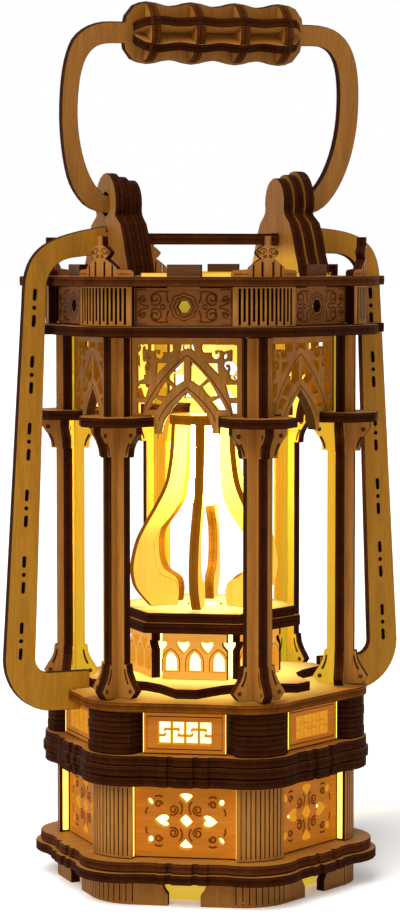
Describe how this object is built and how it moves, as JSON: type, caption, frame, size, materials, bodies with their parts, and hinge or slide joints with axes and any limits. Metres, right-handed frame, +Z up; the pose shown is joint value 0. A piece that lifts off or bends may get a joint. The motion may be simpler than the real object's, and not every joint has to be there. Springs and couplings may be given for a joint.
{
  "type": "lantern",
  "caption": "Hexagonal laser-cut plywood lantern on a stepped drum, with open columns, a chimney cage, side straps and a folding bail handle.",
  "frame": {"origin": "bottom centre of the base, on the ground under the chimney's axis", "axes": "+Z up, +X along the bail's pivot towards one side strap, faces of the hexagon towards 0, 60, ... degrees from +X"},
  "size_m": [0.1234, 0.101, 0.2548],
  "materials": {
    "plywood": "raw laser-cut face, satin",
    "burnt_plywood": "burnt laser-cut edge, matte",
    "black_plastic": "matte moulded",
    "frosted_tube": "frosted light diffuser",
    "cell_jacket": "wrapped cell"
  },
  "bodies": {
    "lantern": {"plinth": "plywood", "drum_corner_1": "plywood", "drum_corner_2": "plywood", "drum_corner_3": "plywood", "drum_corner_4": "plywood", "drum_corner_5": "plywood", "drum_corner_6": "plywood", "drum_panel_1": "plywood", "drum_panel_2": "plywood", "drum_panel_3": "plywood", "drum_panel_4": "plywood", "drum_panel_5": "plywood", "drum_panel_6": "plywood", "key_panel_1": "plywood", "key_panel_2": "plywood", "key_panel_3": "plywood", "key_panel_4": "plywood", "key_panel_5": "plywood", "key_panel_6": "plywood", "lamp_stand": "plywood", "chimney": "plywood", "column_1": "plywood", "column_2": "plywood", "column_3": "plywood", "column_4": "plywood", "column_5": "plywood", "column_6": "plywood", "window_panel_1": "plywood", "window_panel_2": "plywood", "window_panel_3": "plywood", "window_panel_4": "plywood", "window_panel_5": "plywood", "window_panel_6": "plywood", "frieze": "plywood", "ear_right": "plywood", "ear_left": "plywood", "strap_right": "plywood", "strap_left": "plywood", "lower_moulding": "burnt_plywood", "mid_moulding": "burnt_plywood", "corner_block_1": "burnt_plywood", "corner_block_2": "burnt_plywood", "corner_block_3": "burnt_plywood", "corner_block_4": "burnt_plywood", "corner_block_5": "burnt_plywood", "corner_block_6": "burnt_plywood", "tier_plate": "burnt_plywood", "star_plate": "burnt_plywood", "cornice_bottom": "burnt_plywood", "cornice_top": "burnt_plywood", "spreader": "burnt_plywood", "battery_box": "black_plastic", "battery_door": "black_plastic", "lamp_socket": "black_plastic", "lamp_tube": "frosted_tube", "battery_cell": "cell_jacket"},
    "bail": {"bail": "plywood", "grip_front": "plywood", "grip_back": "plywood"},
    "switch": {"power_switch": "black_plastic"}
  },
  "joints": [
    {"name": "bail_hinge", "type": "hinge", "parent": "lantern", "child": "bail", "pos_m": [0, 0, 0.1971], "axis": [1, 0, 0], "range_deg": [-93.5, 76.5]},
    {"name": "switch_slide", "type": "slide", "parent": "lantern", "child": "switch", "axis": [1, 0, 0], "range_m": [0, 0.003]}
  ]
}
